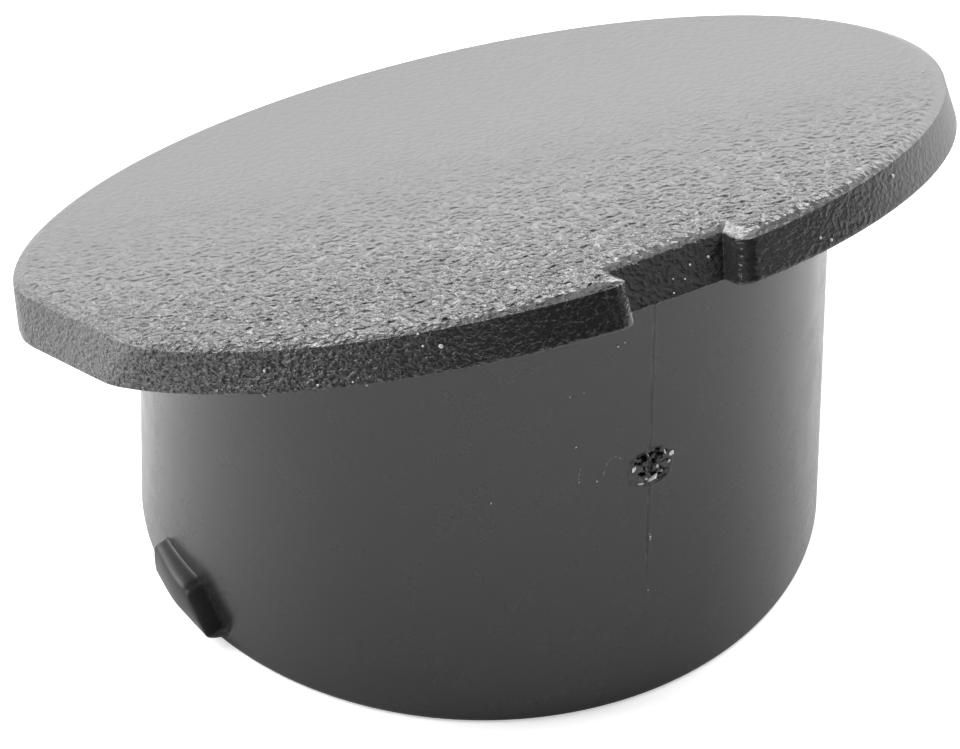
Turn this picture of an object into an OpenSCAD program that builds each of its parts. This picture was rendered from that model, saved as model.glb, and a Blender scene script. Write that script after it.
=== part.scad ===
// Slip-in end cap for the mitred end of an oval running board tube, moulded in one piece.
// It stands on the open end of its barrel; +Z runs up the barrel and the notch looks to -Y.

/* [Barrel] */
// Outside diameter of the barrel that slips into the tube's round bore
barrel_d = 54.2; // [50:0.1:58]
// Thickness of the barrel's wall
barrel_wall = 2.5; // [1.6:0.1:4]
// Height of the flange's underside over the open end, on the barrel's axis
barrel_rise = 29; // [24:0.5:40]
// Rounding of the outer edge at the open end
mouth_r = 0.5; // [0.2:0.1:1.2]

/* [Head] */
// Long axis of the oval head, measured on its underside
head_long = 76.2; // [72:0.1:86]
// Short axis of the oval head, measured on its underside
head_short = 71.3; // [68.5:0.1:78]
// Slope of the head to the barrel's open end
head_tilt = 26; // [10:0.1:32]
// Shift of the oval towards the notch, along the slope
head_shift = 0.7; // [0:0.1:1.6]
// Thickness of the head at its rim
head_t = 3.9; // [3:0.1:6]
// Thickness of the plate over the hollow barrel
plate_t = 3; // [2:0.1:3]
// Lean of the rim's side, in degrees
rim_draft = 5; // [1:0.5:10]
// Rounding where the rim's side turns into the top
edge_r = 0.9; // [0.4:0.1:1.4]

/* [End flat] */
// Distance of the flat on the -X end from the oval's middle, on the underside
flat_dist = 37.1; // [35:0.1:37.4]
// Lean of the flat, in degrees
flat_draft = 20; // [5:1:25]

/* [Notch] */
// Width of the notch between its walls, on the underside
notch_w = 8.9; // [6:0.1:14]
// Shift of the notch along the rim, away from the end flat
notch_shift = 0.2; // [-1:0.1:1]
// Depth of the notch from the rim to its floor, on the underside
notch_depth = 3.4; // [2.5:0.1:4]
// Lean of the notch's floor, in degrees
notch_floor_draft = 17; // [2:1:25]
// Lean of the notch's wall on the side of the end flat, in degrees
notch_near_draft = 2; // [2:1:25]
// Lean of the notch's other wall, in degrees
notch_far_draft = 17; // [2:1:25]
// Rounding of the corners between the notch and the rim, on the underside
notch_mouth_r = 1.4; // [0.8:0.1:2.4]
// Rounding of the corners between the notch's walls and its floor
notch_floor_r = 0.5; // [0.2:0.1:1]

/* [Snap lugs] */
// How far a snap lug stands proud of the barrel
lug_proud = 1.5; // [0.6:0.1:2]
// Arc taken up by one snap lug, in degrees
lug_arc = 17; // [10:1:30]
// Turn of each snap lug from the long axis towards the notch, in degrees
lug_turn = 5.5; // [0:0.5:20]
// Height of a snap lug's lower end over the open end
lug_from = 1; // [0.6:0.1:3]
// Height of a snap lug from its lower end to its catch
lug_h = 3.9; // [3:0.1:7]

/* [Moulding marks] */
// Width of the ridge left where the two mould halves met
seam_w = 0.5; // [0.3:0.1:0.8]
// How far that ridge stands proud of the barrel
seam_proud = 0.1; // [0.05:0.01:0.2]
// Height over the open end at which the ridge fades out
seam_from = 11; // [6:0.5:12]
// Diameter of the gate scar on the ridge
gate_d = 3.8; // [2:0.1:5]
// Height of the gate scar's middle over the open end
gate_z = 24.2; // [18:0.1:26]
// Depth of the gate scar
gate_sink = 0.4; // [0.2:0.1:0.8]

/* [Hidden] */
moulded = [0.11, 0.11, 0.115];
barrel_r = barrel_d/2;
half_long = head_long/2;
half_short = head_short/2;
// Lift of a cut edge's rounding over the top, so that it meets the top at a slight angle
lift = 0.01;
// Margin by which tools reach past the material they work on
reach = 4;
// How far the head's blank and the notch's cutter reach below the underside
under = reach/8;
// Height, on the axis, that lies over every point of the barrel
tall = barrel_rise + barrel_r*tan(head_tilt) + head_t/cos(head_tilt) + reach;

// Height at which a side that leans by `lean` gives way to the rounding
function turn_h(lean) = head_t - edge_r + edge_r*sin(lean);

// Inset of the rounding's middle line from the foot of a side that leans by `lean`
function crown(lean) = (head_t - edge_r)*tan(lean) + edge_r/cos(lean);

// Inset, at height h, of a side that leans by `lean` and is rounded at the top
function inset(h, lean) =
    h <= turn_h(lean) ? h*tan(lean)
    : crown(lean) - sqrt(max(0, pow(edge_r, 2) - pow(h - head_t + edge_r, 2)));

// Level of the flange's underside, with the oval's axes along X and Y
module on_slope() {
    translate([0, 0, barrel_rise])
        rotate([-head_tilt, 0, 0])
            children();
}

// Everything over height h on the slope
module above_slope(h) {
    on_slope()
        translate([-head_long, -head_long, h])
            cube([2*head_long, 2*head_long, tall]);
}

// Section of a rim: foot at x = foot, a side that leans inward, a rounded top edge
module rim_section(foot, lean, up) {
    mid = foot - crown(lean);
    polygon([
        [0, 0],
        [foot, 0],
        [mid + edge_r*cos(lean), turn_h(lean) + up],
        [mid, head_t - edge_r + up],
        [mid, head_t + up],
        [0, head_t + up]
    ]);
    translate([mid, head_t - edge_r + up])
        circle(r = edge_r, $fn = 64);
}

// Oval blank of the head, before the underside, the flat and the notch are cut
module head_blank() {
    translate([0, -head_shift, 0])
        scale([1, head_short/head_long, 1])
            rotate_extrude($fn = 180)
                intersection() {
                    union() {
                        rim_section(half_long, rim_draft, 0);
                        translate([0, -under])
                            square([half_long, under]);
                    }
                    translate([0, -under])
                        square([half_long, under + head_t]);
                }
}

// Everything over the underside and on the near side of the end flat
module inside_flat() {
    translate([0, head_long, 0])
        rotate([90, 0, 0])
            linear_extrude(2*head_long)
                union() {
                    mirror([1, 0])
                        rim_section(flat_dist, flat_draft, lift);
                    square([head_long, head_t + reach]);
                }
}

// Inset of one of the notch's faces at height h, which runs on over the top
function cut_back(h, lean) = inset(min(h, head_t), lean) + max(0, h - head_t);

// Half of the notch's outline at height h on the slope, from the rim in to the floor
function notch_half(h, lean, half) =
    let(
        in_rim = inset(min(max(h, 0), head_t), rim_draft),
        a = half_long - in_rim,
        b = half_short - in_rim*head_short/head_long,
        wall = half + cut_back(h, lean),
        ground = head_shift + half_short - notch_depth - cut_back(h, notch_floor_draft),
        r = notch_mouth_r*(1 - 0.6*min(1, max(0, h)/head_t)),
        mid = wall + r,
        slope = atan(b*mid/(a*a*sqrt(1 - pow(mid/a, 2)))),
        top = head_shift + b*sqrt(1 - pow((mid + r*sin(slope))/a, 2)) - r*cos(slope) + 2*lift
    )
    concat(
        [[mid + r*sin(slope), head_shift + half_short + reach]],
        [for (k = [0:8]) let(q = 90 - slope + k*(90 + slope)/8) [mid + r*cos(q), top + r*sin(q)]],
        [for (k = [0:4]) let(q = -k*90/4) [
            wall - notch_floor_r*(1 - cos(q)),
            ground + notch_floor_r*(1 + sin(q))
        ]]
    );

// Whole outline of the notch at height h, from its far side round to its near side
function notch_ring(h) =
    let(
        far = notch_half(h, notch_far_draft, notch_w/2 + notch_shift),
        near = notch_half(h, notch_near_draft, notch_w/2 - notch_shift),
        n = len(far)
    )
    concat(
        [for (p = far) [p[0], -p[1], h]],
        [for (k = [n - 1:-1:0]) [-near[k][0], -near[k][1], h]]
    );

// Block that cuts the notch: walls and floor lean back and roll over into the top
module notch_cutter() {
    levels = concat(
        [-under, head_t - edge_r],
        [for (q = [10:12:82]) head_t - edge_r + edge_r*sin(q) + lift],
        [head_t + reach/40, head_t + reach/4]
    );
    rings = [for (h = levels) notch_ring(h)];
    n = len(rings[0]);
    m = len(levels);
    hub = -head_shift - half_short - reach/6;
    points = concat(
        [for (ring = rings) each ring],
        [[0, hub, levels[0]], [0, hub, levels[m - 1]]]
    );
    sides = [for (j = [0:m - 2]) for (k = [0:n - 1]) each [
        [j*n + k, (j + 1)*n + k, j*n + (k + 1)%n],
        [j*n + (k + 1)%n, (j + 1)*n + k, (j + 1)*n + (k + 1)%n]
    ]];
    floor_fan = [for (k = [0:n - 1]) [m*n, k, (k + 1)%n]];
    roof_fan = [for (k = [0:n - 1]) [m*n + 1, (m - 1)*n + (k + 1)%n, (m - 1)*n + k]];
    polyhedron(points, concat(sides, floor_fan, roof_fan));
}

// Sloping oval head with its flat end and its notched rim
module head() {
    on_slope()
        difference() {
            intersection() {
                head_blank();
                inside_flat();
            }
            notch_cutter();
        }
}

// Barrel with a rounded mouth, trimmed to end inside the head
module barrel() {
    difference() {
        rotate_extrude($fn = 180) {
            square([barrel_r - mouth_r, tall]);
            translate([0, mouth_r])
                square([barrel_r, tall - mouth_r]);
            translate([barrel_r - mouth_r, mouth_r])
                circle(r = mouth_r, $fn = 48);
        }
        above_slope(head_t/2);
    }
}

// Hollow of the barrel, closed at the top by the plate of the head
module hollow() {
    difference() {
        translate([0, 0, -reach])
            cylinder(h = tall + reach, r = barrel_r - barrel_wall, $fn = 180);
        above_slope(head_t - plate_t);
    }
}

// Snap lug on the +X side: blunt and rounded below, upright outside, with a flat catch on top
module snap_lug() {
    rotate([0, 0, -lug_turn - lug_arc/2])
        rotate_extrude(angle = lug_arc, $fn = 360)
            polygon([
                [barrel_r - barrel_wall/2, lug_from],
                [barrel_r + 0.7*lug_proud, lug_from],
                [barrel_r + 0.93*lug_proud, lug_from + 0.12*lug_h],
                [barrel_r + lug_proud, lug_from + 0.35*lug_h],
                [barrel_r + lug_proud, lug_from + 0.9*lug_h],
                [barrel_r + 0.85*lug_proud, lug_from + lug_h],
                [barrel_r - barrel_wall/2, lug_from + lug_h]
            ]);
}

// Ridge along the barrel where the mould halves met, on the notch's side
module seam(from, to) {
    translate([0, seam_w/2 - barrel_r - seam_proud, from])
        cylinder(h = to - from, d = seam_w, $fn = 24);
}

// Scar where the gate was broken off, sunk into the barrel on the ridge
module gate_scar() {
    translate([0, gate_sink - barrel_r, gate_z])
        rotate([90, 0, 0])
            cylinder(h = gate_sink + reach, d = gate_d, $fn = 64);
}

// Stub of the gate that stays in the scar
module gate_stub() {
    translate([0, barrel_wall/2 - barrel_r, gate_z])
        rotate([90, 0, 0])
            cylinder(h = barrel_wall/2 - gate_sink/3, d1 = 0.85*gate_d, d2 = 0.45*gate_d, $fn = 48);
}

// The whole cap: head, hollow barrel, snap lugs and moulding marks in one solid
module end_cap() {
    drop = barrel_r*tan(head_tilt);
    color(moulded)
        union() {
            difference() {
                union() {
                    head();
                    barrel();
                    snap_lug();
                    mirror([1, 0, 0])
                        snap_lug();
                    seam(seam_from, barrel_rise + drop + head_t/2);
                    mirror([0, 1, 0])
                        seam(lug_from, barrel_rise - drop + head_t/2);
                }
                hollow();
                gate_scar();
            }
            gate_stub();
        }
}

end_cap();
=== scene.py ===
import math
import random

import bmesh
import bpy
import numpy as np
from mathutils import Matrix, Vector, noise
from mathutils.bvhtree import BVHTree
from mathutils.geometry import delaunay_2d_cdt


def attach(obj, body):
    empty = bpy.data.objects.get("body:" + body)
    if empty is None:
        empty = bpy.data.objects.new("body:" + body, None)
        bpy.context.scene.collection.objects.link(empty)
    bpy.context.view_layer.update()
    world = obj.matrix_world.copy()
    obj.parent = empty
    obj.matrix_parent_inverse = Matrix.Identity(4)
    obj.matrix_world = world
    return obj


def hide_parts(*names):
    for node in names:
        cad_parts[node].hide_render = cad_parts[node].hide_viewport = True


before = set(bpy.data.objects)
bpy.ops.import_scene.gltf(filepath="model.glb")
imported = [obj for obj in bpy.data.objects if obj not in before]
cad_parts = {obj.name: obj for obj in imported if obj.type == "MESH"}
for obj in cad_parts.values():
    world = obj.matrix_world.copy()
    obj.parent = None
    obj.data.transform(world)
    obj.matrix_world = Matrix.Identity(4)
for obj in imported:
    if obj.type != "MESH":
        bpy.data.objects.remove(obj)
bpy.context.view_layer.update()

# Camera: a long lens about 0.9 m from the cap, looking down on its notched side.
# It comes first, because the dust is put where it sees it. Lengths are in millimetres.
MM = 0.001
PHOTO_W = 960
PHOTO_H = 749
SENSOR_W = 36.0
LENS = 418.1
CAMERA_AWAY = 895.7
CAMERA_UP = math.radians(41.615)
CAMERA_ROUND = math.radians(29.133)
CAMERA_ROLL = math.radians(0.942)
AIM_RIGHT = 0.064
AIM_HIGH = 9.376

toward = Vector((
    -math.sin(CAMERA_ROUND) * math.cos(CAMERA_UP),
    -math.cos(CAMERA_ROUND) * math.cos(CAMERA_UP),
    math.sin(CAMERA_UP),
))
level = Vector((math.cos(CAMERA_ROUND), -math.sin(CAMERA_ROUND), 0.0))
rightward = Matrix.Rotation(CAMERA_ROLL, 3, toward) @ level
upward = toward.cross(rightward)
eye = toward * CAMERA_AWAY + rightward * AIM_RIGHT + upward * AIM_HIGH

camera = bpy.data.objects.new("camera", bpy.data.cameras.new("camera"))
camera.data.sensor_fit = "HORIZONTAL"
camera.data.sensor_width = SENSOR_W
camera.data.lens = LENS
camera.matrix_world = (
    Matrix.Translation(eye * MM) @ Matrix((rightward, upward, toward)).transposed().to_4x4()
)
scene = bpy.context.scene
scene.collection.objects.link(camera)
scene.camera = camera
scene.view_settings.view_transform = "Standard"


# Head: the sloping oval top of the moulding, with a flat end, a drafted rim and a notch through the rim.
# Black polypropylene; the mould's face was spark eroded, so top, rim and notch carry its grain.
HEAD_LONG = 76.2
HEAD_SHORT = 71.3
HEAD_TILT = math.radians(26)
HEAD_SHIFT = 0.7
HEAD_RISE = 29.0
HEAD_T = 3.9
PLATE_T = 3.0
RIM_DRAFT = math.radians(5)
LOWER_EDGE_R = 0.22
FLAT_DIST = 37.1
FLAT_DRAFT = math.radians(20)
NOTCH_W = 8.9
NOTCH_SHIFT = 0.2
NOTCH_DEPTH = 3.4
NOTCH_FLOOR_DRAFT = math.radians(17)
NOTCH_NEAR_DRAFT = math.radians(2)
NOTCH_FAR_DRAFT = math.radians(17)
NOTCH_MOUTH_R = 1.4
# Share by which the mouth's rounding shrinks up to the top
NOTCH_MOUTH_CLOSES = 0.3
NOTCH_FLOOR_R = 0.1
# Width and drop of the shallow roll-over from the top into the rim, and its width at the notch
ROLL_W = 1.05
ROLL_DROP = 0.5
NOTCH_ROLL_W = 1.25
# Share of that width which draws in evenly; the rest follows close under the top
ROLL_EVEN = 0.7
BARREL_R = 27.1
BARREL_WALL = 2.5
# Spacing of the head's points on its top and along its rim, close enough to hold the grain
GRAIN_MESH = 0.26
RIM_MESH = 0.2
# Points on either side of the flat's corners over which they are blunted, and how often
BLUNT_POINTS = 20
BLUNT_PASSES = 70
# Lengths along the rim of its long stretch, its short stretch and the flat
RIM_FAR_RUN = 158.0
RIM_NEAR_RUN = 42.0
FLAT_RUN = 18.0


def inset(h, lean, roll_w=ROLL_W):
    """How far a side that leans inward has drawn in at height h, with its roll-over into the top."""
    part = max(0.0, 1 + (h - HEAD_T) / ROLL_DROP)
    return h * math.tan(lean) + roll_w * (ROLL_EVEN * part + (1 - ROLL_EVEN) * part**3)


def stretch(start, stop, run, step):
    """Evenly spaced values from start up to stop, as many as steps fit into the run."""
    return np.linspace(start, stop, max(1, round(run / step)), endpoint=False)


def notch_floor(h):
    """Where the notch's floor lies at height h, along the head's short axis."""
    drawn = inset(h, NOTCH_FLOOR_DRAFT, NOTCH_ROLL_W)
    return NOTCH_DEPTH + drawn - HEAD_SHIFT - HEAD_SHORT / 2


def notch_side(h, wall, half_x, half_y):
    """One side of the notch at height h, from the rim round the mouth and along the wall to the floor."""
    mouth_r = NOTCH_MOUTH_R * (1 - NOTCH_MOUTH_CLOSES * h / HEAD_T)
    mid = wall + mouth_r
    slope = math.atan(half_y * mid / (half_x**2 * math.sqrt(1 - (mid / half_x) ** 2)))
    tip = mid + mouth_r * math.sin(slope)
    hub = mouth_r * math.cos(slope) - HEAD_SHIFT - half_y * math.sqrt(1 - (tip / half_x) ** 2)
    turn = np.linspace(math.pi / 2 - slope, math.pi, 10)
    mouth = np.column_stack((mid + mouth_r * np.cos(turn), hub - mouth_r * np.sin(turn)))
    depth = np.linspace(hub, notch_floor(h) - NOTCH_FLOOR_R, 9)[1:]
    side = np.column_stack((np.full(len(depth), wall), depth))
    turn = np.linspace(0, math.pi / 2, 6)[1:]
    corner = NOTCH_FLOOR_R * np.column_stack((np.cos(turn) - 1, np.sin(turn) - 1))
    return np.vstack((mouth, side, corner + (wall, notch_floor(h))))


def notch_walls(h):
    """Distance of the notch's near and far walls from the head's short axis at height h."""
    near = NOTCH_W / 2 - NOTCH_SHIFT + inset(h, NOTCH_NEAR_DRAFT)
    far = NOTCH_W / 2 + NOTCH_SHIFT + inset(h, NOTCH_FAR_DRAFT, NOTCH_ROLL_W)
    return near, far


def oval(h):
    """Half axes of the rim's oval at height h."""
    drawn = inset(h, RIM_DRAFT)
    return HEAD_LONG / 2 - drawn, HEAD_SHORT / 2 - drawn * HEAD_SHORT / HEAD_LONG


def outline(h):
    """Outline of the head at height h, counter-clockwise from above, from the notch's far corner."""
    half_x, half_y = oval(h)
    near_wall, far_wall = notch_walls(h)
    near = notch_side(h, near_wall, half_x, half_y) * (-1, 1)
    far = notch_side(h, far_wall, half_x, half_y)
    flat_x = FLAT_DIST - inset(h, FLAT_DRAFT)
    flat_turn = math.asin(flat_x / half_x)
    flat_y = half_y * math.cos(flat_turn)
    far_turn = stretch(math.asin(far[0, 0] / half_x), math.pi + flat_turn, RIM_FAR_RUN, RIM_MESH)
    near_turn = stretch(
        2 * math.pi - flat_turn, 2 * math.pi + math.asin(near[0, 0] / half_x), RIM_NEAR_RUN, RIM_MESH
    )
    rim_far, rim_near = (
        np.column_stack((half_x * np.sin(turn), -HEAD_SHIFT - half_y * np.cos(turn)))
        for turn in (far_turn, near_turn)
    )
    along = stretch(flat_y, -flat_y, FLAT_RUN, RIM_MESH)
    flat = np.column_stack((np.full(len(along), -flat_x), along - HEAD_SHIFT))
    across = stretch(near[-1, 0], far[-1, 0], NOTCH_W, RIM_MESH)[1:]
    floor = np.column_stack((across, np.full(len(across), notch_floor(h))))
    ring = np.vstack((rim_far, flat, rim_near, near, floor, far[:0:-1]))
    for corner in (len(rim_far), len(rim_far) + len(flat)):
        blunt = np.arange(corner - BLUNT_POINTS, corner + BLUNT_POINTS + 1)
        for _ in range(BLUNT_PASSES):
            ring[blunt] = (ring[blunt - 1] + 2 * ring[blunt] + ring[blunt + 1]) / 4
    return ring


def moved_in(ring, by):
    """An outline moved inward by a small distance."""
    along = np.roll(ring, -1, 0) - np.roll(ring, 1, 0)
    along /= np.linalg.norm(along, axis=1)[:, None]
    return ring + by * np.column_stack((-along[:, 1], along[:, 0]))


def band(low, high, n):
    """Faces between two rings of n points each, the first points of which have the numbers given."""
    return [[low + k, low + (k + 1) % n, high + (k + 1) % n, high + k] for k in range(n)]


def filled(points, loops):
    """Triangles, seen from above, inside the first loop and outside the second."""
    found = delaunay_2d_cdt([Vector(p) for p in points], [], loops, 1, 1e-7, True)
    source = [made[0] for made in found[3]]
    return [[source[c] for c in face] for face, loop in zip(found[2], found[5]) if list(loop) == [0]]


# Rings of the rim: rounded lower edge, leaning side, rolled top edge
rings = []
for turn in np.linspace(-math.pi / 2, 0, 4)[:-1]:
    h = LOWER_EDGE_R * (1 + math.sin(turn))
    rings.append((moved_in(outline(h), LOWER_EDGE_R * (1 - math.cos(turn))), h))
for h in np.linspace(LOWER_EDGE_R, HEAD_T - 1.2 * ROLL_DROP, 12):
    rings.append((outline(h), h))
for h in np.linspace(HEAD_T - ROLL_DROP, HEAD_T, 7):
    rings.append((outline(h), h))
ring_n = len(rings[0][0])
head_points = [(x, y, h) for ring, h in rings for x, y in ring]
head_faces = []
for low in range(len(rings) - 1):
    head_faces += band(low * ring_n, (low + 1) * ring_n, ring_n)

# Top: evenly spaced points in staggered rows inside the last ring
top_x, top_y = oval(HEAD_T)
near_wall, far_wall = notch_walls(HEAD_T)
row_gap = GRAIN_MESH * math.sqrt(3) / 2
rows = np.arange(-round(HEAD_SHORT / 2 / row_gap), round(HEAD_SHORT / 2 / row_gap))
steps = np.arange(-round(HEAD_LONG / 2 / GRAIN_MESH), round(HEAD_LONG / 2 / GRAIN_MESH))
x, y = np.meshgrid(steps * GRAIN_MESH, rows * row_gap)
x += (rows % 2)[:, None] * GRAIN_MESH / 2
kept = (x / (top_x - GRAIN_MESH)) ** 2 + ((y + HEAD_SHIFT) / (top_y - GRAIN_MESH)) ** 2 < 1
kept &= x > inset(HEAD_T, FLAT_DRAFT) - FLAT_DIST + GRAIN_MESH
kept &= (
    (x < -near_wall - GRAIN_MESH) | (x > far_wall + GRAIN_MESH) | (y > notch_floor(HEAD_T) + GRAIN_MESH)
)
spread = np.column_stack((x[kept], y[kept]))
top_first = len(head_points) - ring_n
head_points += [(px, py, HEAD_T) for px, py in spread]
top_faces = filled(np.vstack((rings[-1][0], spread)), [list(range(ring_n))])
head_faces += [[top_first + c for c in face] for face in top_faces]

# Underside: flat out to the rim, with the pocket that the barrel's wall stands in
# and the plate over the hollow
POCKET_N = 180
pocket_r = BARREL_R - BARREL_WALL / 2
pocket_turn = np.linspace(0, 2 * math.pi, POCKET_N, endpoint=False)
pocket_first = len(head_points)
for h in (0.0, HEAD_T - PLATE_T):
    across = pocket_r * np.sin(pocket_turn) - h * math.sin(HEAD_TILT)
    pocket = np.column_stack((pocket_r * np.cos(pocket_turn), across / math.cos(HEAD_TILT)))
    if h == 0:
        loops = [list(range(ring_n)), list(range(ring_n, ring_n + POCKET_N))]
        under_faces = filled(np.vstack((rings[0][0], pocket)), loops)
    head_points += [(px, py, h) for px, py in pocket]
for face in under_faces:
    head_faces.append([c if c < ring_n else c - ring_n + pocket_first for c in reversed(face)])
head_faces += [face[::-1] for face in band(pocket_first, pocket_first + POCKET_N, POCKET_N)]
head_faces.append(list(range(pocket_first + 2 * POCKET_N - 1, pocket_first + POCKET_N - 1, -1)))


def moulding(name, points, faces, sharp):
    """A smooth mesh object from points in millimetres, with the edges over a given angle left sharp."""
    mesh = bpy.data.meshes.new(name)
    mesh.from_pydata((np.asarray(points) * MM).tolist(), [], faces)
    mesh.validate()
    mesh.shade_smooth()
    mesh.set_sharp_from_angle(angle=math.radians(sharp))
    made = bpy.data.objects.new(name, mesh)
    scene.collection.objects.link(made)
    return made


head = moulding("head", head_points, head_faces, 50)
head.matrix_world = Matrix.Translation((0, 0, HEAD_RISE * MM)) @ Matrix.Rotation(-HEAD_TILT, 4, "X")

# Grain: low rounded bumps under a millimetre apart, longer along the head's slope and down its rim.
# Lengths of the bumps across the head, along its slope and down its rim, and their depth
GRAIN_W = 0.42
GRAIN_ALONG = 0.64
GRAIN_DOWN = 0.36
GRAIN_DEEP = 0.19
# It is deepest on the near side of the flat and dies out towards the opposite side: direction, distances
# and the share left there
FADE_TURN = math.radians(61)
FADE_FROM = -36.0
FADE_TO = 18.0
FADED = 0.05
# The rim's side took less of it: share left there near the flat and further on, where that changes,
# and the height above which it grows to the top's share
RIM_SHARE_FLAT = 0.3
RIM_SHARE = 0.15
RIM_FLAT_X = -30.0
RIM_PLAIN_X = -8.0
RIM_UP_TO = 3.76


def smooth(low, high, value):
    """0 below low, 1 above high, and a smooth rise between."""
    t = np.clip((value - low) / (high - low), 0, 1)
    return t * t * (3 - 2 * t)


smooth_points = np.array(head_points)
normals = np.array([n.vector for n in head.data.vertex_normals])
grain = np.array([noise.noise(Vector(p)) for p in smooth_points / (GRAIN_W, GRAIN_ALONG, GRAIN_DOWN)])
fade_run = smooth_points[:, 0] * math.cos(FADE_TURN) + smooth_points[:, 1] * math.sin(FADE_TURN)
grain *= 1 - (1 - FADED) * smooth(FADE_FROM, FADE_TO, fade_run)
rim_share = np.interp(smooth_points[:, 0], (RIM_FLAT_X, RIM_PLAIN_X), (RIM_SHARE_FLAT, RIM_SHARE))
on_top = np.interp(smooth_points[:, 2], (RIM_UP_TO, HEAD_T), (0.0, 1.0))
grain *= rim_share + (1 - rim_share) * on_top
grain[smooth_points[:, 2] < LOWER_EDGE_R / 2] = 0
grain[pocket_first:] = 0
grained_points = smooth_points + normals * GRAIN_DEEP * grain[:, None]
head.data.vertices.foreach_set("co", (grained_points * MM).ravel())


def linear(code):
    """Linear colour of an sRGB hex code."""
    parts = [int(code[k:k + 2], 16) / 255 for k in (1, 3, 5)]
    return [*(c / 12.92 if c <= 0.04045 else ((c + 0.055) / 1.055) ** 2.4 for c in parts), 1.0]


def add(tree, kind, sockets=(), **settings):
    """Adds a node with its settings; a socket takes a value or the output that feeds it."""
    made = tree.nodes.new(kind)
    for name, value in settings.items():
        setattr(made, name, value)
    for name, value in dict(sockets).items():
        if isinstance(value, bpy.types.NodeSocket):
            tree.links.new(value, made.inputs[name])
        else:
            made.inputs[name].default_value = value
    return made


def new_material(name):
    """An empty material and its node tree."""
    made = bpy.data.materials.new(name)
    made.use_nodes = True
    made.node_tree.nodes.clear()
    return made, made.node_tree


# Spark-grained black polypropylene: rough bumps that scatter the light, so the top turns grey where it is
# seen at a low angle and the rim stays dark.
# Width and depth of the wrinkles between the bumps and of the finest sparks,
# and the share of the sparks that the top and the plain rim keep
WRINKLE_W = 0.72
WRINKLE_DEEP = 0.42
SPARK_W = 0.3
SPARK_DEEP = 0.4
SPARK_SHARE = 0.2
# Where the grain dies out it is too fine to be seen and only roughens the skin
ROUGH_GRAINED = 0.15
ROUGH_FINE = 0.46
ROUGH_TO = 4.0
GRAIN_BLACK = "#1b1b1c"
GRAIN_GREY = "#252525"
grained, tree = new_material("polypropylene_moulded_spark_grain")
place = add(tree, "ShaderNodeTexCoord").outputs["Object"]
drawn = add(tree, "ShaderNodeMapping", {
    "Vector": place, "Scale": (1, GRAIN_W / GRAIN_ALONG, GRAIN_W / GRAIN_DOWN),
}).outputs["Vector"]
sparks = add(tree, "ShaderNodeTexNoise", {
    "Vector": drawn, "Scale": 1 / (SPARK_W * MM), "Detail": 2.0, "Roughness": 0.55, "Distortion": 0.3,
}).outputs["Fac"]
tone = add(tree, "ShaderNodeMix", {
    "Factor": sparks, "A": linear(GRAIN_BLACK), "B": linear(GRAIN_GREY),
}, data_type="RGBA")
wrinkles = add(tree, "ShaderNodeTexNoise", {
    "Vector": drawn, "Scale": 1 / (WRINKLE_W * MM), "Detail": 1.5, "Roughness": 0.5,
    "Offset": 1.0, "Gain": 1.0,
}, noise_type="RIDGED_MULTIFRACTAL", normalize=False).outputs["Fac"]
split = add(tree, "ShaderNodeSeparateXYZ", {"Vector": place})
run = add(tree, "ShaderNodeVectorMath", {
    0: place, 1: (math.cos(FADE_TURN), math.sin(FADE_TURN), 0),
}, operation="DOT_PRODUCT").outputs["Value"]
faded = add(tree, "ShaderNodeMapRange", {
    "Value": run, "From Min": FADE_FROM * MM, "From Max": FADE_TO * MM, "To Min": 1.0, "To Max": FADED,
}, interpolation_type="SMOOTHSTEP").outputs["Result"]
rough = add(tree, "ShaderNodeMapRange", {
    "Value": run, "From Min": FADE_FROM * MM, "From Max": ROUGH_TO * MM,
    "To Min": ROUGH_GRAINED, "To Max": ROUGH_FINE,
}, interpolation_type="SMOOTHSTEP").outputs["Result"]
rim = add(tree, "ShaderNodeMapRange", {
    "Value": split.outputs["X"], "From Min": RIM_FLAT_X * MM, "From Max": RIM_PLAIN_X * MM,
    "To Min": RIM_SHARE_FLAT, "To Max": RIM_SHARE,
}).outputs["Result"]
share = add(tree, "ShaderNodeMapRange", {
    "Value": split.outputs["Z"], "From Min": RIM_UP_TO * MM, "From Max": HEAD_T * MM,
    "To Min": rim, "To Max": 1.0,
}).outputs["Result"]
folded = add(tree, "ShaderNodeMath", {0: faded, 1: share}, operation="MULTIPLY").outputs[0]
folds = add(tree, "ShaderNodeBump", {
    "Height": wrinkles, "Strength": folded, "Distance": WRINKLE_DEEP * MM,
}).outputs["Normal"]
flank = add(tree, "ShaderNodeMapRange", {
    "Value": split.outputs["X"], "From Min": RIM_FLAT_X * MM, "From Max": RIM_PLAIN_X * MM,
    "To Min": 1.0, "To Max": SPARK_SHARE,
}).outputs["Result"]
spotted = add(tree, "ShaderNodeMapRange", {
    "Value": split.outputs["Z"], "From Min": RIM_UP_TO * MM, "From Max": HEAD_T * MM,
    "To Min": flank, "To Max": SPARK_SHARE,
}).outputs["Result"]
sparked = add(tree, "ShaderNodeMath", {0: faded, 1: spotted}, operation="MULTIPLY").outputs[0]
bumps = add(tree, "ShaderNodeBump", {
    "Height": sparks, "Strength": sparked, "Distance": SPARK_DEEP * MM, "Normal": folds,
})
# Painted shade and highlight: the finest valleys reflect less, for the shade that falls in them, and the
# crests reflect more
GLOSS = 0.5
GLOSS_SPREAD = 0.45
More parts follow.
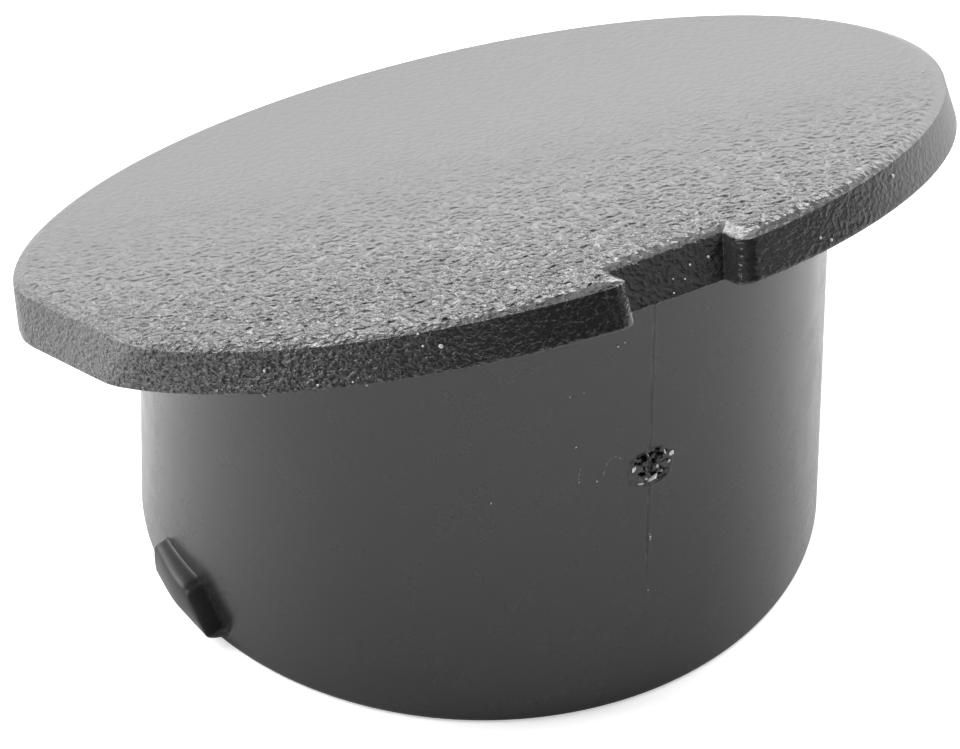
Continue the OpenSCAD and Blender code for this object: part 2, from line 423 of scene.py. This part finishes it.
# Between these lie most values of a noise pattern
NOISE_LOW = 0.3
NOISE_HIGH = 0.7
# Painted shade in the valleys and painted highlight on the crests, as a change in how strongly they
# reflect
crest_glint_hollow_shade = add(tree, "ShaderNodeMapRange", {
    "Value": sparks, "From Min": NOISE_LOW, "From Max": NOISE_HIGH,
    "To Min": -GLOSS_SPREAD, "To Max": GLOSS_SPREAD,
}).outputs["Result"]
gloss = add(tree, "ShaderNodeMath", {0: crest_glint_hollow_shade, 1: sparked, 2: GLOSS}, operation="MULTIPLY_ADD").outputs[0]
shell = add(tree, "ShaderNodeBsdfPrincipled", {
    "Base Color": tone.outputs["Result"], "Roughness": rough, "IOR": 1.5,
    "Normal": bumps.outputs["Normal"],
    "Specular IOR Level": gloss, "Sheen Weight": 0.07, "Sheen Roughness": 0.4,
})
add(tree, "ShaderNodeOutputMaterial", {"Surface": shell.outputs["BSDF"]})
head.data.materials.append(grained)
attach(head, "root")
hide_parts("end_cap")


# Barrel: the round hollow plug under the head, open at the bottom, with two lugs that snap into the tube.
# Same moulding, but from a polished part of the mould, which left a parting ridge and a torn-off gate.
MOUTH_R = 0.5
MOUTH_INNER_R = 0.25
LUG_ARC = 19.6
LUG_TURN = 4.5
LUG_FAR_END_R = 0.35
LUG_NEAR_END_R = 0.9
# Share of its full relief at the far end, and the length over which it grows from there
LUG_LOW_END = 0.72
LUG_RISE_RUN = 5.0
LUG_ZONE = 7.0
# Section of a lug, from its blunt lower end up to the flat catch: heights, and how far out it stands
LUG_Z = (0.92, 1.08, 1.5, 2.3, 3.1, 3.6, 3.9, 4.12, 4.27, 4.36, 4.42, 4.46, 4.5, 4.54, 4.6)
LUG_OUT = (0.0, 1.0, 1.35, 1.5, 1.58, 1.58, 1.54, 1.44, 1.28, 1.08, 0.85, 0.6, 0.3, 0.1, 0.0)
LUG_FROM = 1.0
# The catch falls away towards the end on the notch's side: where that starts, how steeply, how far at
# most, over what length it gets steep, and over what length past the lug's end it is back up
LUG_FALL_FROM = 0.7
LUG_FALL = 1.1
LUG_FALL_MOST = 3.1
LUG_FALL_ROUND = 0.6
LUG_FALL_BACK = 3.0
# It is uneven there: depth, raggedness, place past the start of the fall, and half width
LUG_TORN = 0.3
LUG_TORN_PITCH = 2.3
LUG_TORN_AT = 0.7
LUG_TORN_RUN = 0.9
SEAM_PROUD = 0.075
SEAM_HALF_W = 0.08
SEAM_FROM = 11.0
SEAM_WHOLE = 17.6
# Two rates of the breaks in its lower part, in radians per millimetre
SEAM_BREAK = 2.9
SEAM_BREAK_FINE = 4.7
# Gate scar: radius, height of its middle, depth, number of broken facets, and depth of its pits
GATE_R = 1.92
GATE_Z = 24.2
GATE_DEEP = 0.3
GATE_SHARDS = 46
GATE_PIT_DEEP = 0.9
# How ragged its outline is, how far a lip stands up round it, and how far shards may stand out
GATE_RAGGED = 0.14
GATE_LIP = 0.11
GATE_PROUD = 0.12
# Times its radius: how far its relief reaches, and within which faces are left flat
GATE_REACH = 1.4
GATE_FACETED = 1.2
# Half height of the closely spaced rows at the gate
GATE_ZONE = 2.6
# Deep pits in the gate scar: pixel of the photograph, and radius in millimetres
GATE_PITS = (
    (642, 457, 0.4), (646, 460, 0.25), (652, 454, 0.3), (658, 448, 0.35), (655, 462, 0.22),
    (660, 474, 0.25), (663, 471, 0.22), (667, 449, 0.18), (644, 476, 0.2), (661, 458, 0.16),
)
# Height in the head, over its underside, at which the barrel's outer and inner walls end
OUTER_TOP = 0.6
INNER_TOP = 1.5


def arc(start, stop, step):
    """Angles in degrees from start up to stop, a step of arc apart on the barrel."""
    return stretch(start, stop, math.radians(stop - start) * BARREL_R, step)


def in_head(turn, radius, h):
    """Height on the barrel at which it reaches height h in the head."""
    return HEAD_RISE + (h - radius * np.sin(turn) * math.sin(HEAD_TILT)) / math.cos(HEAD_TILT)


def snap_lug(away, level):
    """How far a lug stands out, so far from its middle towards the notch, at a level of its section."""
    far = LUG_ARC / 2 * math.radians(BARREL_R) + away
    near = LUG_ARC / 2 * math.radians(BARREL_R) - away
    rise = LUG_LOW_END + (1 - LUG_LOW_END) * smooth(0, LUG_RISE_RUN, far)
    ends = smooth(0, LUG_FAR_END_R, far) * rise * np.sqrt(smooth(0, LUG_NEAR_END_R, near))
    return np.interp(level, LUG_Z, LUG_OUT) * ends


def catch_fall(away):
    """How far a lug's catch has fallen there."""
    half = LUG_ARC / 2 * math.radians(BARREL_R)
    run = np.clip(away - LUG_FALL_FROM, 0, half - LUG_FALL_FROM)
    torn = np.array([noise.noise(Vector((part * LUG_TORN_PITCH, 8.0, 0.5))) for part in away])
    torn *= LUG_TORN * np.exp(-(((away - LUG_FALL_FROM - LUG_TORN_AT) / LUG_TORN_RUN) ** 2))
    fall = np.minimum(LUG_FALL * run**2 / (run + LUG_FALL_ROUND), LUG_FALL_MOST)
    return fall * (1 - smooth(half, half + LUG_FALL_BACK, away)) + torn


def lug_height(level, fall):
    """Height of a level of the lug's section where its catch has fallen so far."""
    top = LUG_Z[-1]
    if level <= LUG_FROM:
        return np.full(len(fall), level)
    if level <= top:
        return LUG_FROM + (level - LUG_FROM) * (top - fall - LUG_FROM) / (top - LUG_FROM)
    return LUG_ZONE - (LUG_ZONE - level) * (LUG_ZONE - top + fall) / (LUG_ZONE - top)


def parting_ridge(away, z):
    """Relief of the line where the mould's halves met: a nick and a ridge, broken up at its lower end."""
    whole = smooth(SEAM_FROM, SEAM_WHOLE, z)
    broken = smooth(0.0, 0.3, np.sin(z * SEAM_BREAK) + np.sin(z * SEAM_BREAK_FINE) * 0.6 + whole * 2 - 0.6)
    ridge = 0.5 * np.exp(-((away / SEAM_HALF_W - 1) ** 2)) - np.exp(-((away / SEAM_HALF_W + 0.6) ** 2))
    return SEAM_PROUD * ridge * broken * smooth(0, 0.1, whole)


def sight(px, py):
    """Direction in which the camera sees a pixel of the photograph."""
    focal = LENS / SENSOR_W * PHOTO_W
    return ((px - PHOTO_W / 2) * rightward - (py - PHOTO_H / 2) * upward - focal * toward).normalized()


def on_barrel(px, py):
    """Arc length from the parting line, and height, of the place on the barrel that a pixel shows."""
    look = sight(px, py)
    a = look.x**2 + look.y**2
    b = eye.x * look.x + eye.y * look.y
    c = eye.x**2 + eye.y**2 - BARREL_R**2
    spot = eye - look * ((b + math.sqrt(b * b - a * c)) / a)
    return (math.atan2(spot.y, spot.x) + math.pi / 2) * BARREL_R, spot.z


pits = [(*on_barrel(px, py), radius) for px, py, radius in GATE_PITS]
random.seed(7)
shards = []
for _ in range(GATE_SHARDS):
    turn = random.uniform(0, 2 * math.pi)
    out = GATE_R * math.sqrt(random.random())
    shards.append((
        out * math.cos(turn), out * math.sin(turn),
        random.uniform(-1.0, 0.2), random.uniform(-1.0, 1.0), random.uniform(-1.0, 1.0),
    ))


def torn_gate(away, z):
    """Relief of the gate scar: a ragged hole with broken facets and deep pits, and a raised lip."""
    up = z - GATE_Z
    edge = GATE_R * (1 + GATE_RAGGED * noise.noise(Vector((math.atan2(up, away) * 2.2, 3.1, 0.7))))
    out = math.hypot(away, up)
    near = min(shards, key=lambda shard: math.hypot(away - shard[0], up - shard[1]))
    broken = GATE_DEEP * (near[2] + near[3] * (away - near[0]) + near[4] * (up - near[1]))
    for pit_away, pit_z, radius in pits:
        rag = radius * (1 + 0.5 * noise.noise(Vector((away, z, 1.3)) * 3))
        broken -= GATE_PIT_DEEP * float(smooth(0, 0.15, rag - math.hypot(away - pit_away, z - pit_z)))
    ragged = 0.6 + noise.noise(Vector((away, up, 5.0)) * 1.7)
    lip = GATE_LIP * math.exp(-(((out - edge) / GATE_LIP) ** 2)) * ragged
    hole = float(smooth(0, 0.2, edge - out))
    return hole * max(-1.4 * GATE_PIT_DEEP, min(GATE_PROUD, broken)) + lip


# Columns: from and to in degrees, and spacing; close at the gate, at both ridges and at both lugs
turns = np.radians(np.concatenate((
    arc(-95.4, -90.7, 0.09),
    arc(-90.7, -89.3, 0.05),
    arc(-89.3, -84.6, 0.09),
    arc(-84.6, -17.5, 0.85),
    arc(-17.5, 6.5, 0.2),
    arc(6.5, 88.6, 0.85),
    arc(88.6, 91.4, 0.05),
    arc(91.4, 173.5, 0.85),
    arc(173.5, 197.5, 0.13),
    arc(197.5, 264.6, 0.85),
)))
column_n = len(turns)
ridge_top = float(in_head(-math.pi / 2, BARREL_R, OUTER_TOP))
wall_rows = np.concatenate((
    stretch(LUG_ZONE, GATE_Z - GATE_ZONE, GATE_Z - GATE_ZONE - LUG_ZONE, 0.7),
    stretch(GATE_Z - GATE_ZONE, GATE_Z + GATE_ZONE, 2 * GATE_ZONE, 0.09),
    np.linspace(GATE_Z + GATE_ZONE, ridge_top, 16),
))

# Rows of radius and height: down the inner wall, round the open end, up the outer wall
inner_r = BARREL_R - BARREL_WALL
inner_top = in_head(turns, inner_r, INNER_TOP)
outer_top = in_head(turns, BARREL_R, OUTER_TOP)
barrel_rows = []
for part in np.linspace(1, 0, 8):
    barrel_rows.append((inner_r, MOUTH_INNER_R + part * (inner_top - MOUTH_INNER_R)))
for turn in np.linspace(0, math.pi / 2, 4)[1:]:
    out = inner_r + MOUTH_INNER_R * (1 - math.cos(turn))
    barrel_rows.append((out, MOUTH_INNER_R * (1 - math.sin(turn))))
for turn in np.linspace(0, math.pi / 2, 6):
    barrel_rows.append((BARREL_R - MOUTH_R * (1 - math.sin(turn)), MOUTH_R * (1 - math.cos(turn))))
plain_n = len(barrel_rows)
left = (turns - math.radians(180 + LUG_TURN)) * BARREL_R
right = (math.radians(-LUG_TURN) - turns) * BARREL_R
for level in np.union1d(stretch(MOUTH_R, LUG_ZONE, LUG_ZONE - MOUTH_R, 0.16)[1:], LUG_Z):
    out = BARREL_R + snap_lug(left, level) + snap_lug(right, level)
    barrel_rows.append((out, lug_height(level, catch_fall(left) + catch_fall(right))))
for part in (wall_rows - LUG_ZONE) / (ridge_top - LUG_ZONE):
    barrel_rows.append((BARREL_R, LUG_ZONE + part * (outer_top - LUG_ZONE)))
barrel_points = []
for number, (radius, z) in enumerate(barrel_rows):
    z = np.broadcast_to(z, turns.shape).astype(float)
    radius = np.broadcast_to(radius, turns.shape).astype(float)
    if number >= plain_n:
        front = (turns + math.pi / 2) * BARREL_R
        back = (turns - math.pi / 2) * BARREL_R
        radius += parting_ridge(front, z) + parting_ridge(back, z + SEAM_FROM)
        for k in np.flatnonzero(np.hypot(front, z - GATE_Z) < GATE_R * GATE_REACH):
            radius[k] += torn_gate(front[k], z[k])
    barrel_points += list(zip(radius * np.cos(turns), radius * np.sin(turns), z))
barrel_faces = []
for low in range(len(barrel_rows)):
    barrel_faces += band(low * column_n, (low + 1) % len(barrel_rows) * column_n, column_n)
barrel = moulding("barrel", barrel_points, barrel_faces, 50)
for face in barrel.data.polygons:
    spot = face.center / MM
    away = (math.atan2(spot.y, spot.x) + math.pi / 2) * BARREL_R
    face.use_smooth = math.hypot(away, spot.z - GATE_Z) > GATE_FACETED * GATE_R

# Polished black polypropylene: a satin skin that mirrors the floor softly and turns pale at its outlines,
# with faint mottling and a trace of orange peel from the melt that cooled on the steel.
SATIN_BLACK = "#1e1e1f"
SATIN_GREY = "#262626"
MOTTLE_W = 3.0
ORANGE_PEEL_W = 0.35
ORANGE_PEEL_DEEP = 0.002
ROUGH_SATIN = 0.22
ROUGH_MOTTLED = 0.3
# What stands out of the barrel was dragged dull as it left the mould: roughness there, and how far out
# that is full
ROUGH_RUBBED = 0.5
RUBBED_FULL = 0.05
satin, tree = new_material("polypropylene_moulded_satin")
place = add(tree, "ShaderNodeTexCoord").outputs["Object"]
mottle = add(tree, "ShaderNodeTexNoise", {
    "Vector": place, "Scale": 1 / (MOTTLE_W * MM), "Detail": 4.0, "Roughness": 0.6,
}).outputs["Fac"]
peel = add(tree, "ShaderNodeTexNoise", {
    "Vector": place, "Scale": 1 / (ORANGE_PEEL_W * MM), "Detail": 2.0, "Roughness": 0.6,
}).outputs["Fac"]
tone = add(tree, "ShaderNodeMix", {
    "Factor": mottle, "A": linear(SATIN_BLACK), "B": linear(SATIN_GREY),
}, data_type="RGBA")
rough = add(tree, "ShaderNodeMapRange", {
    "Value": mottle, "From Min": NOISE_LOW, "From Max": NOISE_HIGH,
    "To Min": ROUGH_SATIN, "To Max": ROUGH_MOTTLED,
}).outputs["Result"]
sideways = add(tree, "ShaderNodeVectorMath", {
    0: place, 1: (1, 1, 0),
}, operation="MULTIPLY").outputs["Vector"]
from_axis = add(tree, "ShaderNodeVectorMath", {0: sideways}, operation="LENGTH").outputs["Value"]
rough = add(tree, "ShaderNodeMapRange", {
    "Value": from_axis, "From Min": BARREL_R * MM, "From Max": (BARREL_R + RUBBED_FULL) * MM,
    "To Min": rough, "To Max": ROUGH_RUBBED,
}).outputs["Result"]
bumps = add(tree, "ShaderNodeBump", {"Height": peel, "Strength": 1.0, "Distance": ORANGE_PEEL_DEEP * MM})
shell = add(tree, "ShaderNodeBsdfPrincipled", {
    "Base Color": tone.outputs["Result"], "Roughness": rough, "IOR": 1.5,
    "Normal": bumps.outputs["Normal"],
    "Sheen Weight": 0.2, "Sheen Roughness": 0.25,
})
add(tree, "ShaderNodeOutputMaterial", {"Surface": shell.outputs["BSDF"]})
barrel.data.materials.append(satin)
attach(barrel, "root")
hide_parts("end_cap")


# Torn gate: slivers of the same plastic left standing where the sprue was broken off the barrel.
# Stretched polypropylene turns white where it tears.
SLIVER_PROUD = 0.16
SLIVER_TAPER = 0.7
# Pixel of the photograph, half length and half width in pixels, and slant in degrees
SLIVERS = (
    (634, 469, 4.2, 2.4, 72), (652.5, 478, 7.2, 2.3, 42), (662, 469.5, 4.0, 1.0, 33),
    (657, 466, 2.6, 1.5, 65), (665, 451.5, 2.8, 1.2, 105), (671.5, 452.5, 3.2, 2.3, 55),
    (669, 460.5, 2.3, 1.5, 60), (640, 484, 3.8, 0.9, 8), (646, 479, 1.7, 1.1, 30),
    (648, 455, 3.0, 0.6, 120),
)
cap_points = []
cap_faces = []
for made in (head, barrel):
    first = len(cap_points)
    cap_points += [made.matrix_world @ vertex.co / MM for vertex in made.data.vertices]
    cap_faces += [[first + c for c in face.vertices] for face in made.data.polygons]
cap = BVHTree.FromPolygons(cap_points, cap_faces)
# Size of the photograph's pixel at the cap
PIXEL = CAMERA_AWAY * SENSOR_W / LENS / PHOTO_W
# How uneven a lump is, and how closely
LUMP_UNEVEN = 0.45
LUMP_PITCH = 1.4


def lying(right, up, normal):
    """Vector along a surface that the camera sees as so many pixels to the right and up."""
    level = (rightward * right + upward * up) * PIXEL
    return level - toward * (level.dot(normal) / toward.dot(normal))


def lump(heap, spot, along, across, out, fineness, taper):
    """Adds a small uneven lump to a heap, with its three half axes, tapering towards its ends."""
    made = bmesh.ops.create_icosphere(heap, subdivisions=fineness, radius=1.0)
    for vertex in made["verts"]:
        shape = vertex.co * (1 + LUMP_UNEVEN * noise.noise(vertex.co * LUMP_PITCH + spot))
        thick = across * shape.y + out * shape.z
        vertex.co = (spot + along * shape.x + thick * (1 - taper * abs(vertex.co.x))) * MM


def heaped(name, heap, smooth_faces):
    """A mesh object from a heap of lumps."""
    mesh = bpy.data.meshes.new(name)
    bmesh.ops.recalc_face_normals(heap, faces=heap.faces)
    heap.to_mesh(mesh)
    heap.free()
    for face in mesh.polygons:
        face.use_smooth = smooth_faces
    made = bpy.data.objects.new(name, mesh)
    scene.collection.objects.link(made)
    return made


heap = bmesh.new()
for px, py, half_length, half_width, slant in SLIVERS:
    spot = cap.ray_cast(eye, sight(px, py))[0]
    normal = Vector((spot.x, spot.y, 0.0)).normalized()
    slant = math.radians(slant)
    along = lying(half_length * math.cos(slant), half_length * math.sin(slant), normal)
    across = lying(-half_width * math.sin(slant), half_width * math.cos(slant), normal)
    lump(heap, spot, along, across, normal * SLIVER_PROUD, 1, SLIVER_TAPER)
slivers = heaped("gate_slivers", heap, False)

# Torn polypropylene: milky and half dull, greyer where it was stretched less.
TORN_WHITE = "#f6f6f4"
TORN_GREY = "#c2c2c0"
TORN_W = 0.5
ROUGH_TORN_LEAST = 0.25
ROUGH_TORN_MOST = 0.45
torn, tree = new_material("polypropylene_torn_whitened")
place = add(tree, "ShaderNodeTexCoord").outputs["Object"]
stretched = add(tree, "ShaderNodeTexNoise", {
    "Vector": place, "Scale": 1 / (TORN_W * MM), "Detail": 3.0, "Roughness": 0.6,
}).outputs["Fac"]
tone = add(tree, "ShaderNodeMix", {
    "Factor": stretched, "A": linear(TORN_GREY), "B": linear(TORN_WHITE),
}, data_type="RGBA")
rough = add(tree, "ShaderNodeMapRange", {
    "Value": stretched, "From Min": NOISE_LOW, "From Max": NOISE_HIGH,
    "To Min": ROUGH_TORN_LEAST, "To Max": ROUGH_TORN_MOST,
}).outputs["Result"]
shell = add(tree, "ShaderNodeBsdfPrincipled", {
    "Base Color": tone.outputs["Result"], "Roughness": rough, "IOR": 1.5,
})
add(tree, "ShaderNodeOutputMaterial", {"Surface": shell.outputs["BSDF"]})
slivers.data.materials.append(torn)
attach(slivers, "root")
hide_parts("end_cap")


# Dust: pale specks that lie on the rim, in the notch and on the barrel, and fine pale lines by the gate.
# Mineral grit and plastic crumbs that settled on the cap; the lines are dust caught in scratches.
# The four specks on the parting line below the gate are painted highlights on its broken ridge, not dust.
# Pixel of the photograph and half width in pixels
DUST_AND_HIGHLIGHT_SPECKS = (
    (265, 371, 1.3), (318, 385, 1.2), (265, 395, 1.2), (353, 382, 1.1), (367, 385, 1.1), (423, 346, 1.3),
    (441, 346, 2.2), (418, 334, 1.1), (892, 176, 1.2), (820, 238, 1.2), (831, 240, 1.1), (708, 257, 1.3),
    (690, 265, 1.1), (673, 279, 0.7), (685, 279, 0.9), (674, 293, 0.8), (705, 124, 1.0), (923, 72, 1.0),
    (618, 346, 1.0), (625, 342, 0.9), (491, 503, 1.0), (570, 397, 0.6), (576, 447, 0.9), (579, 482, 0.8),
    # The last three specks on the next line and the one after it lie on the parting line: painted
    # highlights on its ridge
    (597, 481, 0.8), (584, 392, 0.6), (649.6, 534, 0.5), (650, 536.5, 0.65), (650, 539, 0.5),
    (648, 590, 0.6),
)
SCRATCHES = (
    ((603, 477), (605, 469), (608, 462), (613, 457), (618, 457), (623, 460)),
    ((578, 482), (579, 477), (580, 472), (581, 468)),
)
# Half width in pixels, and half length as a share of the step from point to point
SCRATCH_HALF_W = 0.1
SCRATCH_HALF_L = 0.42
# Times its half width: how high a speck's middle lies, and its half height
SPECK_LIFT = 0.3
SPECK_HIGH = 0.8
heap = bmesh.new()
for px, py, half_width in DUST_AND_HIGHLIGHT_SPECKS:
    spot, normal = cap.ray_cast(eye, sight(px, py))[:2]
    along = lying(half_width, 0, normal)
    across = normal.cross(along)
    middle = spot + normal * SPECK_LIFT * along.length
    lump(heap, middle, along, across, normal * SPECK_HIGH * along.length, 2, 0.0)
for line in SCRATCHES:
    for start, stop in zip(line, line[1:]):
        middle = [(a + b) / 2 for a, b in zip(start, stop)]
        spot, normal = cap.ray_cast(eye, sight(*middle))[:2]
        run, rise = stop[0] - start[0], start[1] - stop[1]
        along = lying(run * SCRATCH_HALF_L, rise * SCRATCH_HALF_L, normal)
        across = normal.cross(along).normalized() * SCRATCH_HALF_W * PIXEL
        lump(heap, spot, along, across, normal * SCRATCH_HALF_W * PIXEL, 2, 0.0)
# Dust, with the painted highlights on the parting ridge among it
dust_and_highlights = heaped("dust_and_highlights", heap, True)

# Pale mineral dust: dull and chalky, some grains greyer than others.
# The painted highlights on the parting ridge use it too.
DUST_AND_HIGHLIGHT_PALE = "#dcdcd8"
DUST_AND_HIGHLIGHT_GREY = "#9c9c98"
DUST_W = 1.5
pale_dust_and_highlights, tree = new_material("dust_and_painted_highlights")
place = add(tree, "ShaderNodeTexCoord").outputs["Object"]
grains = add(tree, "ShaderNodeTexNoise", {
    "Vector": place, "Scale": 1 / (DUST_W * MM), "Detail": 2.0, "Roughness": 0.5,
}).outputs["Fac"]
tone = add(tree, "ShaderNodeMix", {
    "Factor": grains, "A": linear(DUST_AND_HIGHLIGHT_GREY), "B": linear(DUST_AND_HIGHLIGHT_PALE),
}, data_type="RGBA")
shell = add(tree, "ShaderNodeBsdfPrincipled", {
    "Base Color": tone.outputs["Result"], "Roughness": 0.9, "IOR": 1.5,
})
add(tree, "ShaderNodeOutputMaterial", {"Surface": shell.outputs["BSDF"]})
dust_and_highlights.data.materials.append(pale_dust_and_highlights)
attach(dust_and_highlights, "root")
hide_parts("end_cap")


# Studio floor: a sheet of white paper under the cap, lit past white, so only the shadow at its foot shows.
# Half width in metres
FLOOR_HALF = 4.0
FLOOR_WHITE = "#f4f4f4"
# Glow of the paper as the camera sees it
FLOOR_GLOW = 0.5
# A hair under the open end, so that the two flat faces don't coincide
FLOOR_CLEAR = 0.03
paper, tree = new_material("studio_paper_white")
rays = add(tree, "ShaderNodeLightPath")
glow = add(tree, "ShaderNodeMath", {
    0: rays.outputs["Is Camera Ray"], 1: FLOOR_GLOW,
}, operation="MULTIPLY")
matt = add(tree, "ShaderNodeBsdfDiffuse", {"Color": linear(FLOOR_WHITE)})
lit = add(tree, "ShaderNodeEmission", {"Color": linear("#ffffff"), "Strength": glow.outputs[0]})
both = add(tree, "ShaderNodeAddShader", {0: matt.outputs["BSDF"], 1: lit.outputs["Emission"]})
add(tree, "ShaderNodeOutputMaterial", {"Surface": both.outputs["Shader"]})
floor_mesh = bpy.data.meshes.new("floor")
corners = [(-FLOOR_HALF, -FLOOR_HALF, 0), (FLOOR_HALF, -FLOOR_HALF, 0)]
corners += [(FLOOR_HALF, FLOOR_HALF, 0), (-FLOOR_HALF, FLOOR_HALF, 0)]
floor_mesh.from_pydata(corners, [], [(0, 1, 2, 3)])
floor = bpy.data.objects.new("floor", floor_mesh)
floor.location.z = -FLOOR_CLEAR * MM
scene.collection.objects.link(floor)
floor_mesh.materials.append(paper)


# Studio light: soft panels over, behind and beside the cap in a room that is darker on the camera's side.
ROOM_FRONT = 0.06
ROOM_BACK = 0.7
world = bpy.data.worlds.new("studio")
world.use_nodes = True
tree = world.node_tree
tree.nodes.clear()
facing = add(tree, "ShaderNodeTexCoord").outputs["Generated"]
across = add(tree, "ShaderNodeSeparateXYZ", {"Vector": facing})
room = add(tree, "ShaderNodeMapRange", {
    "Value": across.outputs["Y"], "From Min": -1.0, "From Max": 1.0,
    "To Min": ROOM_FRONT, "To Max": ROOM_BACK,
})
rays = add(tree, "ShaderNodeLightPath")
dim = add(tree, "ShaderNodeBackground", {"Color": linear("#ffffff"), "Strength": room.outputs["Result"]})
white = add(tree, "ShaderNodeBackground", {"Color": linear("#ffffff"), "Strength": 1.0})
backdrop = add(tree, "ShaderNodeMixShader", {
    0: rays.outputs["Is Camera Ray"], 1: dim.outputs["Background"], 2: white.outputs["Background"],
})
add(tree, "ShaderNodeOutputWorld", {"Surface": backdrop.outputs["Shader"]})
scene.world = world


def panel(name, place, size, watts):
    """A soft light panel that faces the cap."""
    made = bpy.data.objects.new(name, bpy.data.lights.new(name, "AREA"))
    made.data.shape = "RECTANGLE"
    made.data.size, made.data.size_y = size
    made.data.energy = watts
    made.location = place
    made.rotation_mode = "QUATERNION"
    made.rotation_quaternion = Vector(place).to_track_quat("Z", "Y")
    made.visible_camera = False
    scene.collection.objects.link(made)


# Place and size in metres, and watts
panel("panel_over", (0.0, 0.6, 0.6), (0.8, 0.8), 4.5)
panel("panel_back", (0.2, 0.55, 0.11), (1.2, 0.13), 4.0)
panel("panel_left", (-0.5, 0.35, 0.45), (0.5, 0.5), 6.2)
panel("panel_right", (0.55, 0.1, 0.45), (0.5, 0.5), 4.4)
panel("panel_front", (0.4, -0.45, 0.45), (0.6, 0.6), 0.8)
